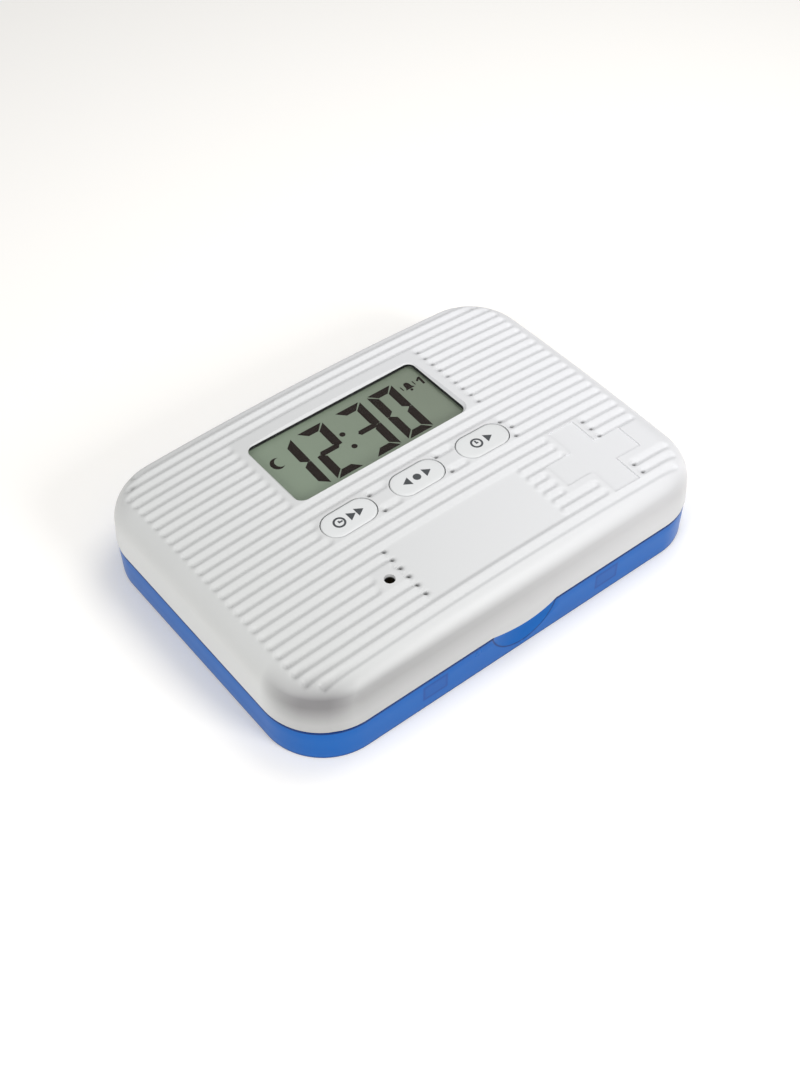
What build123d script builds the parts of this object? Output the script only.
from build123d import *
import os
from math import asin, cos, degrees, radians, sin, sqrt, tan

# An electronic pill box: a ribbed white lid that holds a clock with three buttons, hinged at the rear
# on a translucent tray with six compartments. X is the long side, the thumb lip is at -Y, the hinge
# at +Y, and Z = 0 is the flat underside. Lengths are in millimetres.

os.makedirs("parts", exist_ok=True)

# The whole box
box_length = 115.0
box_depth = 83.2
box_height = 23.1
corner_radius = 15.1
lid_height = 13.92
seam_gap = 0.3
overrun = 4.0
fit_gap = 0.3

# The lid's moulded shell
crown_radius = 700.0
lid_wall = 1.8
top_wall = 1.8
edge_radius = 6.6
edge_steps = 3
cavity_bevel = 3.0
lid_draft = 4.0
groove_pitch = 2.81
groove_from_front = 5.07
groove_width = 1.9
groove_depth = 0.42
groove_floor = 0.8
groove_rise = 0.6
groove_from_end = 5.3
cross_from_right = 21.8
cross_from_front = 18.3
cross_span = 22.2
cross_arm = 7.4
cross_depth = 0.3
cross_margin = 0.9
panel_length = 36.6
panel_from_front = 9.3
panel_depth = 16.4
lip_length = 18.0
lip_reach = 1.1
lip_height = 3.4
lip_root = 0.8
tongue_x = 24.5
tongue_width = 6.8
tongue_thickness = 1.2
tongue_tip_gap = 2.3
tongue_gap = 0.45
tongue_corner = 1.0
catch_reach = 0.2
catch_radius = 0.8

# The window and the display
window_length = 46.8
window_depth = 21.2
window_from_rear = 25.62
window_corner = 2.0
window_flare = 40.0
window_margin = 2.0
lens_drop = 1.2
lens_thickness = 1.0
lens_lap = 1.2
lens_gap = 0.1
glass_length = 50.0
glass_depth = 27.4
glass_front_lap = 3.9
glass_thickness = 0.75
rear_glass_gap = 0.2
reflector_thickness = 0.2
frame_wall = 1.0
frame_ledge = 2.4
frame_bar = 1.2
zebra_end_gap = 0.6
zebra_thickness = 2.2

# The buttons
button_length = 13.6
button_width = 7.2
button_pitch = 18.8
button_from_window = 20.88
button_gap = 0.2
button_proud = 0.1
button_travel = 0.5
button_bevel = 0.25
button_margin = 0.5
flange_lap = 1.0
flange_gap = 0.1
flange_thickness = 1.3
stem_width = 3.6
dome_radius = 2.6
dome_height = 0.4
dome_sides = 8
dome_slope = 60.0
press_gap = 0.1

# The sounder
sound_from_left = 35.0
sound_from_front = 17.9
sound_hole_radius = 1.25
sound_ring_radius = 2.9
disc_radius = 10.0
disc_thickness = 0.3
ceramic_radius = 7.0
ceramic_thickness = 0.25
sound_rib_wall = 1.2
sound_rib_drop = 1.4
lead_radius = 0.35
lead_sides = 6
lead_spacing = 3.0
lead_height = 1.1

# The circuit board
board_front_lap = 6.6
board_rear_lap = 1.72
board_drop = 6.5
board_thickness = 1.2
board_corner = 2.0
board_screw_gap = 3.7
board_screw_edge = 3.6
board_boss_radius = 2.6
blob_radius = 4.2
blob_height = 1.1
crystal_radius = 1.0
crystal_length = 6.0
chip_length = 2.0
chip_width = 1.25
chip_height = 0.6
chip_pitch = 2.6
chip_count = 5

# The screws
screw_radius = 1.0
screw_length = 4.2
screw_head_radius = 1.9
screw_head_height = 0.8
screw_clearance = 0.05

# The inner plate and the battery
plate_drop = 10.3
plate_thickness = 1.4
plate_boss_radius = 3.3
plate_screw_floor = 0.55
plate_screw_inset = 8.3
cell_from_right = 27.5
cell_from_front = 19.6
cell_radius = 10.0
cell_height = 3.2
cell_lift = 0.3
cell_gap = 0.4
well_wall = 1.3
door_radius = 11.1
door_gap = 0.3
lug_reach = 1.5
lug_height = 0.8
lug_gap = 0.15
lug_step = 0.1
door_bevel = 0.3
lug_angle = 26.0
lug_count = 3
door_turn = 40.0
notch_play = 6.0
coin_slot_length = 15.0
coin_slot_width = 2.0
coin_slot_depth = 0.8
strip_thickness = 0.25
strip_width = 4.6
tab_length = 2.0

# The tray
tray_wall = 1.6
tray_floor = 1.2
tray_inset = 0.14
tray_draft = 1.0
tray_foot_bevel = 0.5
ring_gap = 2.6
ring_wall = 1.2
ring_top_gap = 0.4
divider_wall = 1.2
columns = 3
rows = 2
pocket_corner = 4.0
pocket_floor_bevel = 1.3
scoop_reach = 2.0
scoop_low = 1.8
scoop_wall = 1.2
catch_pocket_depth = 0.5
catch_pocket_share = 0.6

# The hinge
hinge_offset = 1.2
knuckle_radius = 2.0
knuckle_gap = 0.3
hinge_from_end = 25.5
lid_knuckle = 9.0
tray_knuckle = 5.0
knuckle_side_gap = 0.25
knuckle_web = 4.6
pin_radius = 0.8
pin_play = 0.05
pin_seat = 0.02

# Sizes that follow from the ones above
half_length = box_length / 2
half_depth = box_depth / 2
seam_height = box_height - lid_height
lid_bottom = seam_height + seam_gap / 2
tray_top = seam_height - seam_gap / 2
hinge_y = half_depth + hinge_offset
hinge_x = half_length - hinge_from_end
groove_first_y = groove_from_front - half_depth
groove_count = round((box_depth - 2 * groove_from_front) / groove_pitch) + 1
groove_reach = half_length - groove_from_end
cross_x = half_length - cross_from_right
cross_y = cross_from_front - half_depth
panel_front_y = panel_from_front - half_depth
panel_rear_y = panel_front_y + panel_depth
window_y = half_depth - window_from_rear
button_y = window_y - button_from_window
sound_x = sound_from_left - half_length
sound_y = sound_from_front - half_depth
cell_x = half_length - cell_from_right
cell_y = cell_from_front - half_depth
plate_bottom = box_height - plate_drop
plate_top = plate_bottom + plate_thickness
plate_screw_x = half_length - plate_screw_inset
plate_screw_y = half_depth - plate_screw_inset
ring_top = plate_bottom - ring_top_gap
board_top = box_height - board_drop
board_bottom = board_top - board_thickness
lens_top = box_height - lens_drop
lens_bottom = lens_top - lens_thickness
glass_top = lens_bottom - lens_gap / 2
glass_bottom = glass_top - glass_thickness
rear_glass_bottom = glass_bottom - glass_thickness
reflector_bottom = rear_glass_bottom - reflector_thickness
window_front_y = window_y - window_depth / 2
glass_front_y = window_front_y - glass_front_lap
glass_rear_y = glass_front_y + glass_depth
zebra_back = glass_front_y + lens_gap + zebra_thickness
frame_bar_front = zebra_back + lens_gap
rear_glass_front = frame_bar_front + frame_bar + rear_glass_gap
board_front_y = button_y - board_front_lap
board_rear_y = glass_rear_y + board_rear_lap
board_screw_x = glass_length / 2 + lens_gap + frame_wall + board_boss_radius + board_screw_gap
board_length = 2 * (board_screw_x + board_screw_edge)
tongue_tip_z = tray_floor + tongue_tip_gap
catch_pocket_z = (tray_floor + tray_top) / 2
button_places = [-button_pitch, 0, button_pitch]
crown_middle = box_height - crown_radius
plate_screw_seat = plate_top - plate_screw_floor
cell_bottom = plate_top + cell_lift
cell_top = cell_bottom + cell_height


def block(x0, x1, y0, y1, z0, z1):
    """A box between two corners."""
    return Pos((x0 + x1) / 2, (y0 + y1) / 2, (z0 + z1) / 2) * Box(x1 - x0, y1 - y0, z1 - z0)


def post(x, y, z0, z1, radius):
    """An upright round post."""
    return Pos(x, y, (z0 + z1) / 2) * Cylinder(radius, z1 - z0)


def bar(x0, x1, y, z, radius):
    """A round bar along X."""
    return Pos((x0 + x1) / 2, y, z) * Rot(0, 90, 0) * Cylinder(radius, x1 - x0)


def prism(sketch, x, y, z0, z1, taper=0):
    """A flat outline raised from z0 to z1."""
    return Pos(x, y, z0) * extrude(sketch, amount=z1 - z0, taper=taper)


def fall(x, y):
    """How far the crowned top lies below its middle at a place."""
    return crown_radius - sqrt(crown_radius ** 2 - x ** 2 - y ** 2)


def crown(drop):
    """The large ball under the crowned top, lowered by drop, with its poles at the sides."""
    return Pos(0, 0, crown_middle) * Rot(90, 0, 0) * Sphere(crown_radius - drop)


def shell_form(inset, drop):
    """The lid's drafted form under the crown, shrunk by inset at the sides and by drop at the top."""
    start = lid_bottom - (overrun if inset else 0)
    spread = (lid_bottom - start) * tan(radians(lid_draft)) - inset
    outline = RectangleRounded(box_length + 2 * spread, box_depth + 2 * spread, corner_radius + spread)
    return prism(outline, 0, 0, start, box_height + overrun, lid_draft) & crown(drop)


def top_rim(form):
    """The edges round the highest face of a form."""
    return form.faces().sort_by(Axis.Z)[-1].edges()


def round_top(form, radius):
    """Rounds the edge of the top in bevels that all touch a round of this radius."""
    turn = 90 - lid_draft
    step = turn / (edge_steps + 1)
    for number in range(edge_steps):
        left = turn - number * step
        side = radius * (tan(radians(left / 2)) - tan(radians(step / 2)))
        over = side * sin(radians(step)) / sin(radians(left - step))
        top = form.faces().sort_by(Axis.Z)[-1]
        form = chamfer(top.edges(), over, side, reference=top)
    return form


def cross_plan(growth):
    """The plain cross figure, seen from above, grown all round."""
    long_side = cross_span + 2 * growth
    short_side = cross_arm + 2 * growth
    return Rectangle(long_side, short_side) + Rectangle(short_side, long_side)


def stadium(growth):
    """A button's outline, grown all round."""
    return SlotOverall(button_length + 2 * growth, button_width + 2 * growth)


def free_stretches(y):
    """The stretches of one groove that no window, button, panel, ring or cross interrupts."""
    stops = []
    if abs(y - window_y) < window_depth / 2 + window_margin:
        reach = window_length / 2 + window_margin
        stops.append((-reach, reach))
    for x in button_places:
        radius = button_width / 2 + button_margin
        off = abs(y - button_y)
        if off < radius:
            reach = (button_length - button_width) / 2 + sqrt(radius ** 2 - off ** 2)
            stops.append((x - reach, x + reach))
    if panel_front_y < y < panel_rear_y:
        stops.append((-panel_length / 2, panel_length / 2))
    if abs(y - sound_y) < sound_ring_radius:
        reach = sqrt(sound_ring_radius ** 2 - (y - sound_y) ** 2)
        stops.append((sound_x - reach, sound_x + reach))
    for width, height in [(cross_span, cross_arm), (cross_arm, cross_span)]:
        if abs(y - cross_y) < height / 2 + cross_margin / 2:
            stops.append((cross_x - width / 2 - cross_margin, cross_x + width / 2 + cross_margin))
    stretches = []
    start = -groove_reach
    for low, high in sorted(stops) + [(groove_reach, groove_reach)]:
        if low - start > 2 * groove_width:
            stretches.append((start, low))
        start = max(start, high)
    return stretches


def groove_cutters():
    """One cutter with sloping sides for each free stretch, bent along the crown."""
    slope = (groove_width - groove_floor) / 2 / groove_depth
    half_floor = groove_floor / 2
    half_top = groove_width / 2 + groove_rise * slope
    axis = Axis((0, 0, crown_middle), (0, 1, 0))
    cutters = []
    for row in range(groove_count):
        y = groove_first_y + row * groove_pitch
        arm = crown_radius - fall(0, y)
        low = crown_middle + arm - groove_depth
        high = crown_middle + arm + groove_rise
        profile = make_face(Polyline([(0, y - half_floor, low), (0, y + half_floor, low), (0, y + half_top, high),
                                      (0, y - half_top, high)], close=True))
        for start, end in free_stretches(y):
            first = degrees(asin(start / arm))
            last = degrees(asin(end / arm))
            cutters.append(revolve(profile.rotate(axis, first), axis, last - first))
    return cutters


def knuckle(x0, x1, side, bore):
    """A hinge knuckle with its web, above the seam for the lid (side 1) or below for the tray (-1)."""
    level = seam_height + side * seam_gap / 2
    wall_in = half_depth - (lid_wall if side > 0 else tray_wall) / 2
    web_points = [
        (x0, wall_in, level),
        (x0, hinge_y, level),
        (x0, hinge_y + knuckle_radius * sin(radians(45)), seam_height + side * knuckle_radius * cos(radians(45))),
        (x0, wall_in, seam_height + side * knuckle_web),
    ]
    web = extrude(make_face(Polyline(web_points, close=True)), amount=x1 - x0, dir=(1, 0, 0))
    return bar(x0, x1, hinge_y, seam_height, knuckle_radius) + web - bar(
        x0 - overrun, x1 + overrun, hinge_y, seam_height, bore)


def knuckle_spans():
    """The X ranges of the lid's knuckles and of the tray's, two hinges in all."""
    lid_spans = []
    tray_spans = []
    for side in (-1, 1):
        middle = side * hinge_x
        half = lid_knuckle / 2
        lid_spans.append((middle - half, middle + half))
        inner = half + knuckle_side_gap
        tray_spans.append((middle - inner - tray_knuckle, middle - inner))
        tray_spans.append((middle + inner, middle + inner + tray_knuckle))
    return lid_spans, tray_spans


def board_screw_places():
    """Where the two screws hold the board under the lid."""
    return [(side * board_screw_x, (board_front_y + board_rear_y) / 2) for side in (-1, 1)]


def plate_screw_places():
    """Where the four screws hold the inner plate."""
    return [(x * plate_screw_x, y * plate_screw_y) for x in (-1, 1) for y in (-1, 1)]


def screw(x, y, head_top):
    """A pan-head screw that points up, its head under head_top."""
    body = post(x, y, head_top, head_top + screw_length, screw_radius)
    return body + post(x, y, head_top - screw_head_height, head_top, screw_head_radius)


def make_lid_cover():
    """The lid's white shell with its grooves, window, holes, lip, tongues, bosses and knuckles."""
    outer = round_top(shell_form(0, 0), edge_radius)
    cavity = shell_form(lid_wall, top_wall)
    cavity = chamfer(top_rim(cavity), cavity_bevel)
    cross = prism(cross_plan(0), cross_x, cross_y, seam_height, box_height + overrun) - crown(cross_depth)
    cover = outer - groove_cutters() - cross

    lip_back = -half_depth + lip_root
    lip_front = -half_depth
    low = make_face([
        ThreePointArc((-lip_length / 2, lip_front, lid_bottom), (0, lip_front - lip_reach, lid_bottom),
                      (lip_length / 2, lip_front, lid_bottom)),
        Polyline((lip_length / 2, lip_front, lid_bottom), (lip_length / 2, lip_back, lid_bottom),
                 (-lip_length / 2, lip_back, lid_bottom), (-lip_length / 2, lip_front, lid_bottom)),
    ])
    lip_top = lid_bottom + lip_height
    slope = lip_height * tan(radians(lid_draft))
    narrow = lip_length / 2 - lip_height / 2
    high = make_face([
        ThreePointArc((-narrow, lip_front + slope + seam_gap, lip_top), (0, lip_front + slope, lip_top),
                      (narrow, lip_front + slope + seam_gap, lip_top)),
        Polyline((narrow, lip_front + slope + seam_gap, lip_top), (narrow, lip_back + slope, lip_top),
                 (-narrow, lip_back + slope, lip_top), (-narrow, lip_front + slope + seam_gap, lip_top)),
    ])
    cover += loft([low, high])
    cover -= cavity

    bosses = []
    for x, y in board_screw_places():
        bosses.append(post(x, y, board_top, box_height, board_boss_radius))
    for x, y in plate_screw_places():
        bosses.append(post(x, y, plate_top, box_height, plate_boss_radius))
    sound_underside = box_height - fall(sound_x, sound_y) - top_wall
    rib_bottom = sound_underside - sound_rib_drop
    bosses.append(post(sound_x, sound_y, rib_bottom, box_height, disc_radius)
                  - post(sound_x, sound_y, rib_bottom - overrun, box_height, disc_radius - sound_rib_wall))
    under_top = shell_form(lid_wall / 2, top_wall / 2)
    under_top = chamfer(top_rim(under_top), cavity_bevel)
    for boss in bosses:
        cover += boss & under_top

    window = RectangleRounded(window_length, window_depth, window_corner)
    cover -= prism(window, 0, window_y, lens_top, box_height + overrun, -window_flare)
    lens_seat = RectangleRounded(window_length + 2 * lens_lap + 2 * lens_gap,
                                 window_depth + 2 * lens_lap + 2 * lens_gap, window_corner)
    cover -= prism(lens_seat, 0, window_y, board_top, lens_top)
    cover -= block(-glass_length / 2 - lens_gap, glass_length / 2 + lens_gap, glass_front_y - lens_gap,
                   glass_rear_y + lens_gap, board_top, lens_bottom)
    for x in button_places:
        cover -= prism(stadium(button_gap), x, button_y, board_top, box_height + overrun)
    cover -= post(sound_x, sound_y, board_top, box_height + overrun, sound_hole_radius)
    for x, y in board_screw_places():
        cover -= post(x, y, board_bottom, board_bottom + screw_length + fit_gap, screw_radius + screw_clearance)
    for x, y in plate_screw_places():
        cover -= post(x, y, plate_screw_seat, plate_screw_seat + screw_length + fit_gap,
                      screw_radius + screw_clearance)

    lid_spans, tray_spans = knuckle_spans()
    for x0, x1 in tray_spans:
        cover -= bar(x0 - knuckle_side_gap, x1 + knuckle_side_gap, hinge_y, seam_height,
                     knuckle_radius + knuckle_gap)
    for x0, x1 in lid_spans:
        cover += knuckle(x0, x1, 1, pin_radius + pin_play)

    wall_inside = -half_depth + tray_inset + tray_wall
    for side in (-1, 1):
        x0 = side * tongue_x - tongue_width / 2
        x1 = side * tongue_x + tongue_width / 2
        front = wall_inside + tongue_gap
        back = front + tongue_thickness
        tongue = block(x0, x1, front, back, tongue_tip_z, plate_bottom - fit_gap)
        tip = tongue.edges().filter_by(Axis.Y).sort_by(Axis.Z)[:2]
        tongue = fillet(tip, tongue_corner)
        root = block(x0, x1, -half_depth + lid_wall / 2, back, lid_bottom + fit_gap, plate_bottom - fit_gap)
        bead = bar(x0 + tongue_corner, x1 - tongue_corner, front + catch_radius - catch_reach, catch_pocket_z,
                   catch_radius)
        cover += tongue + root + bead
    return cover


def make_inner_plate():
    """The plate that closes the lid from below, with the battery well and its bayonet ring."""
    shrink = lid_wall + fit_gap + (plate_top - lid_bottom) * tan(radians(lid_draft))
    outline = RectangleRounded(box_length - 2 * shrink, box_depth - 2 * shrink, corner_radius - shrink)
    plate = prism(outline, 0, 0, plate_bottom, plate_top)
    groove_radius = door_radius + door_gap + lug_reach + door_gap
    lug_top = plate_top + lug_gap + lug_height
    well_top = cell_top - cell_height / 4
    plate += post(cell_x, cell_y, plate_top, lug_top + door_gap + well_wall / 2, groove_radius + well_wall)
    plate += post(cell_x, cell_y, plate_top, well_top, cell_radius + cell_gap + well_wall)
    plate -= post(cell_x, cell_y, plate_bottom - overrun, cell_top + overrun, cell_radius + cell_gap)
    plate -= post(cell_x, cell_y, plate_top, lug_top + door_gap, groove_radius)
    plate -= post(cell_x, cell_y, plate_bottom - overrun, plate_top, door_radius + door_gap)
    for number in range(lug_count):
        start = number * 360 / lug_count + door_turn
        plate -= sector(door_radius, groove_radius, start, lug_angle + notch_play, plate_bottom - overrun,
                        plate_top)
    for x, y in plate_screw_places():
        plate -= post(x, y, plate_bottom - overrun, plate_screw_seat, screw_head_radius + fit_gap)
        plate -= post(x, y, plate_bottom - overrun, plate_top + overrun, screw_radius + screw_clearance)
    leaf_x = cell_x - cell_radius - strip_thickness - fit_gap / 2
    plate -= block(leaf_x - well_wall - cell_gap, leaf_x + well_wall, cell_y - strip_width / 2 - fit_gap,
                   cell_y + strip_width / 2 + fit_gap, lug_top + door_gap + well_wall / 2, cell_top + overrun)
    return plate


def sector(inner, outer, middle_angle, width_angle, z0, z1):
    """A piece of a ring round the battery's axis, centred on middle_angle."""
    def at(radius, angle):
        return (cell_x + radius * cos(radians(angle)), cell_y + radius * sin(radians(angle)))
    first = middle_angle - width_angle / 2
    last = middle_angle + width_angle / 2
    outline = make_face([
        ThreePointArc(at(inner, first), at(inner, middle_angle), at(inner, last)),
        Line(at(inner, last), at(outer, last)),
        ThreePointArc(at(outer, last), at(outer, middle_angle), at(outer, first)),
        Line(at(outer, first), at(inner, first)),
    ])
    return prism(outline, 0, 0, z0, z1)


def make_battery_door():
    """The round twist-lock door with three lugs over the plate and a slot for a coin."""
    door = post(cell_x, cell_y, plate_bottom, plate_top, door_radius)
    door = chamfer(door.edges().sort_by(Axis.Z)[0], door_bevel)
    slot = SlotOverall(coin_slot_length, coin_slot_width)
    door -= prism(slot, cell_x, cell_y, plate_bottom - overrun, plate_bottom + coin_slot_depth)
    lug_bottom = plate_top + lug_gap
    lug_top = lug_bottom + lug_height
    root_in = cell_radius + cell_gap
    root_out = door_radius - lug_step
    lug_out = door_radius + lug_reach
    profile = make_face(Polyline([
        (cell_x + root_in, cell_y, plate_top - lug_gap), (cell_x + root_out, cell_y, plate_top - lug_gap),
        (cell_x + root_out, cell_y, lug_bottom), (cell_x + lug_out, cell_y, lug_bottom),
        (cell_x + lug_out, cell_y, lug_top), (cell_x + root_in, cell_y, lug_top)], close=True))
    axis = Axis((cell_x, cell_y, 0), (0, 0, 1))
    for number in range(lug_count):
        start = number * 360 / lug_count - lug_angle / 2
        door += revolve(profile.rotate(axis, start), axis, lug_angle)
    return door


def make_button(x):
    """One push button: a cap flush with the crown, a square-cornered flange under the lid and a stem."""
    cap_bottom = box_height - top_wall - flange_thickness
    cap = prism(stadium(0), x, button_y, cap_bottom, box_height + overrun) & crown(-button_proud)
    cap = chamfer(top_rim(cap), button_bevel)
    reach_x = button_length / 2 + button_gap + flange_lap
    reach_y = button_width / 2 + button_gap + flange_lap
    skirt = block(x - reach_x, x + reach_x, button_y - reach_y, button_y + reach_y,
                  cap_bottom - flange_thickness / 2, box_height) & crown(top_wall + flange_gap)
    stem_bottom = board_top + dome_height + button_travel + press_gap
    stem = prism(Rectangle(stem_width, stem_width), x, button_y, stem_bottom, cap_bottom)
    return cap + skirt + stem


def make_switch_domes():
    """The three snap domes on the board, one under each button."""
    outline = RegularPolygon(dome_radius, dome_sides)
    return [prism(outline, x, button_y, board_top, board_top + dome_height, dome_slope) for x in button_places]


def make_display():
    """The lens, the two glasses, the reflector, the frame and the conductive strip."""
    lens = prism(RectangleRounded(window_length + 2 * lens_lap, window_depth + 2 * lens_lap, window_corner),
                 0, window_y, lens_bottom, lens_top)
    half = glass_length / 2
    front = block(-half, half, glass_front_y, glass_rear_y, glass_bottom, glass_top)
    rear = block(-half, half, rear_glass_front, glass_rear_y, rear_glass_bottom, glass_bottom)
    reflector = block(-half, half, rear_glass_front, glass_rear_y, reflector_bottom, rear_glass_bottom)
    reach = half + lens_gap + frame_wall
    frame_top = glass_bottom - lens_gap
    frame = block(-reach, reach, glass_front_y - lens_gap - frame_wall, glass_rear_y + lens_gap + frame_wall,
                  board_top, frame_top)
    frame -= block(-half - lens_gap, half + lens_gap, glass_front_y - lens_gap, glass_rear_y + lens_gap,
                   reflector_bottom, box_height)
    hole = half - frame_ledge
    frame -= block(-hole, hole, glass_front_y, glass_rear_y - frame_ledge, board_bottom, box_height)
    frame += block(-hole, hole, frame_bar_front, frame_bar_front + frame_bar, board_top, reflector_bottom)
    zebra = block(zebra_end_gap - hole, hole - zebra_end_gap, glass_front_y + lens_gap, zebra_back, board_top,
                  glass_bottom)
    return {"window_lens": lens, "display_front_glass": front, "display_rear_glass": rear,
            "display_reflector": reflector, "display_frame": frame, "display_connector": zebra}


def make_circuit_board():
    """The board, cut round the battery well, with its two screw holes."""
    middle_y = (board_front_y + board_rear_y) / 2
    board = prism(RectangleRounded(board_length, board_rear_y - board_front_y, board_corner), 0, middle_y,
                  board_bottom, board_top)
    well = door_radius + lug_reach + 2 * door_gap + well_wall + fit_gap
    board -= post(cell_x, cell_y, board_bottom - overrun, board_top + overrun, well)
    for x, y in board_screw_places():
        board -= post(x, y, board_bottom - overrun, board_top + overrun, screw_radius + screw_clearance)
    return board


def make_board_parts():
    """The sealed controller, the clock crystal and a row of small parts, all on the board."""
    blob = post(0, window_y, board_top, board_top + blob_height, blob_radius)
    crystal_x = blob_radius + crystal_length
    crystal = bar(crystal_x, crystal_x + crystal_length, window_y, board_top + crystal_radius, crystal_radius)
    chips = []
    chip_x = -blob_radius - crystal_length
    for number in range(chip_count):
        y = window_y + (number - (chip_count - 1) / 2) * chip_pitch
        chips.append(block(chip_x - chip_length, chip_x, y - chip_width / 2, y + chip_width / 2, board_top,
                           board_top + chip_height))
    return {"controller_blob": blob, "clock_crystal": crystal, "board_components": Compound(children=chips)}


def make_sounder():
    """The brass disc under its rib, with its ceramic and its two leads to the board."""
    disc_top = box_height - fall(sound_x, sound_y) - top_wall - sound_rib_drop
    disc_bottom = disc_top - disc_thickness
    disc = post(sound_x, sound_y, disc_bottom, disc_top, disc_radius)
    ceramic = post(sound_x, sound_y, disc_bottom - ceramic_thickness, disc_bottom, ceramic_radius)
    leads = []
    for side in (-1, 1):
        x = sound_x + side * lead_spacing / 2
        start_y = sound_y + (disc_radius + ceramic_radius) / 2
        end_y = board_front_y + lead_spacing / 2
        low = board_top + lead_height
        route = Polyline((x, start_y, disc_bottom), (x, start_y, low), (x, end_y, low), (x, end_y, board_top))
        ring = Plane(origin=(x, start_y, disc_bottom), z_dir=(0, 0, -1)) * RegularPolygon(lead_radius, lead_sides)
        leads.append(sweep(ring, path=route, transition=Transition.RIGHT))
    return {"buzzer_disc": disc, "buzzer_ceramic": ceramic, "buzzer_leads": Compound(children=leads)}


def make_battery_parts():
    """The coin cell, the side contact and the strip that lies over the cell."""
    cell = post(cell_x, cell_y, cell_bottom, cell_top, cell_radius)
    half = strip_width / 2
    strip_top = cell_top + strip_thickness
    well = door_radius + lug_reach + 2 * door_gap + well_wall + fit_gap
    tab_y = max(cell_y + well, board_front_y) + fit_gap
    over = block(cell_x - half, cell_x + half, cell_y - half, tab_y + strip_thickness, cell_top, strip_top)
    over += block(cell_x - half, cell_x + half, tab_y, tab_y + strip_thickness, board_top, strip_top)
    over += block(cell_x - half, cell_x + half, tab_y, tab_y + tab_length, board_top,
                  board_top + strip_thickness)
    leaf_x = cell_x - cell_radius - fit_gap / 2
    leaf_bottom = plate_top + lug_height + well_wall + door_gap
    shelf = strip_top + fit_gap
    side_strip = block(leaf_x - strip_thickness, leaf_x, cell_y - half, cell_y + half, leaf_bottom, shelf)
    side_strip += block(leaf_x - half, leaf_x, cell_y - half, board_front_y + tab_length, shelf,
                        shelf + strip_thickness)
    side_strip += block(leaf_x - half, leaf_x, board_front_y + tab_length - strip_thickness,
                        board_front_y + tab_length, board_top, shelf)
    return {"coin_cell": cell, "cell_top_contact": over, "cell_side_contact": side_strip}


def tray_outline(z, inset):
    """The tray's rounded outline at a height, shrunk by inset."""
    shrink = tray_inset + (tray_top - z) * tan(radians(tray_draft)) + inset
    return RectangleRounded(box_length - 2 * shrink, box_depth - 2 * shrink, corner_radius - shrink)


def make_base_tray():
    """The translucent tray: outer wall, raised inner ring, six rounded pockets, scoop and hinge ears."""
    shell = prism(tray_outline(0, 0), 0, 0, 0, tray_top, -tray_draft)
    shell = chamfer(shell.faces().sort_by(Axis.Z)[0].edges(), tray_foot_bevel)
    moat = prism(tray_outline(tray_floor, tray_wall), 0, 0, tray_floor, tray_top + overrun, -tray_draft)
    ring_shrink = tray_inset + tray_wall + ring_gap
    ring_length = box_length - 2 * ring_shrink
    ring_depth = box_depth - 2 * ring_shrink
    ring = prism(RectangleRounded(ring_length, ring_depth, corner_radius - ring_shrink), 0, 0, tray_floor,
                 ring_top)
    tray = shell - moat + ring
    pocket_length = (ring_length - 2 * ring_wall - (columns - 1) * divider_wall) / columns
    pocket_depth = (ring_depth - 2 * ring_wall - (rows - 1) * divider_wall) / rows
    for column in range(columns):
        for row in range(rows):
            x = (column - (columns - 1) / 2) * (pocket_length + divider_wall)
            y = (row - (rows - 1) / 2) * (pocket_depth + divider_wall)
            sketch = RectangleRounded(pocket_length, pocket_depth, pocket_corner)
            pocket = prism(sketch, x, y, tray_floor, ring_top + overrun)
            tray -= chamfer(pocket.faces().sort_by(Axis.Z)[0].edges(), pocket_floor_bevel)
    return tray


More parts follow.
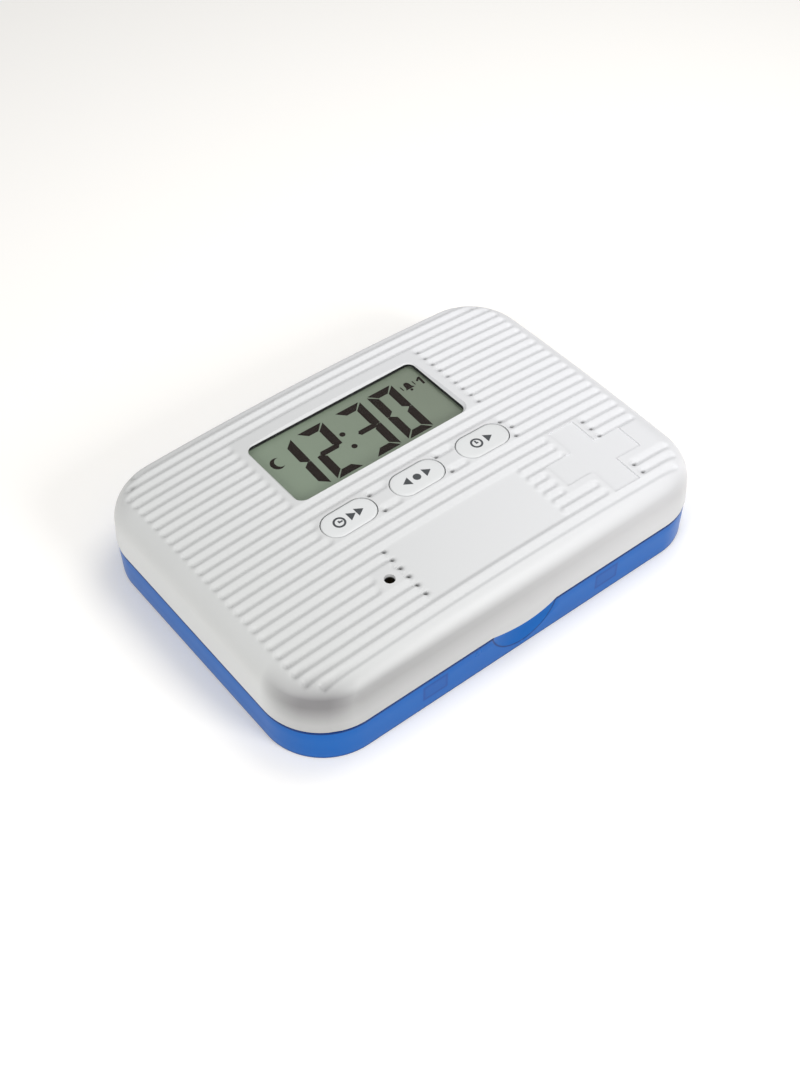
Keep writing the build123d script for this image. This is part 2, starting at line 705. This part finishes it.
def finish_base_tray(tray):
    """Adds the scoop under the lip, the catch pockets and the hinge knuckles to the tray."""
    front = -half_depth + tray_inset
    scoop_height = tray_top - scoop_low
    mouth = ((lip_length / 2) ** 2 + scoop_height ** 2) / (2 * scoop_height)
    ball = (mouth ** 2 + scoop_reach ** 2) / (2 * scoop_reach)
    centre = Pos(0, front + scoop_reach - ball, scoop_low + mouth)
    room = block(-half_length / 2, half_length / 2, front + tray_wall / 2, front + tray_wall + ring_gap,
                 tray_floor / 2, tray_top)
    tray += (centre * Sphere(ball + scoop_wall)) & room
    tray -= centre * Sphere(ball)
    half_pocket = (tray_top - tray_floor) * catch_pocket_share / 2
    for side in (-1, 1):
        middle = side * tongue_x
        wall_inside = front + tray_wall
        tray -= block(middle - tongue_width / 2, middle + tongue_width / 2, wall_inside - catch_pocket_depth,
                      wall_inside + ring_gap, catch_pocket_z - half_pocket, catch_pocket_z + half_pocket)
    lid_spans, tray_spans = knuckle_spans()
    for x0, x1 in lid_spans:
        tray -= bar(x0 - knuckle_side_gap, x1 + knuckle_side_gap, hinge_y, seam_height,
                    knuckle_radius + knuckle_gap)
    for x0, x1 in tray_spans:
        tray += knuckle(x0, x1, -1, pin_radius + pin_seat)
    return tray


def make_hinge_pins():
    """The two steel pins, each through one lid knuckle and its two tray knuckles."""
    reach = lid_knuckle / 2 + knuckle_side_gap + tray_knuckle
    return [bar(side * hinge_x - reach, side * hinge_x + reach, hinge_y, seam_height, pin_radius)
            for side in (-1, 1)]


pieces = {
    "base_tray": finish_base_tray(make_base_tray()),
    "hinge_pins": Compound(children=make_hinge_pins()),
    "lid_cover": make_lid_cover(),
    "inner_plate": make_inner_plate(),
    "plate_screws": Compound(children=[
        screw(x, y, plate_screw_seat) for x, y in plate_screw_places()]),
    "circuit_board": make_circuit_board(),
    "board_screws": Compound(children=[screw(x, y, board_bottom) for x, y in board_screw_places()]),
    "switch_domes": Compound(children=make_switch_domes()),
    "battery_door": make_battery_door(),
}
pieces.update(make_display())
pieces.update(make_board_parts())
pieces.update(make_sounder())
pieces.update(make_battery_parts())
for name, x in zip(("hour_button", "mode_button", "minute_button"), button_places):
    pieces[name] = make_button(x)

for name, shape in pieces.items():
    export_step(shape, f"parts/{name}.step")
    print(name, round(shape.volume, 2), "mm3")
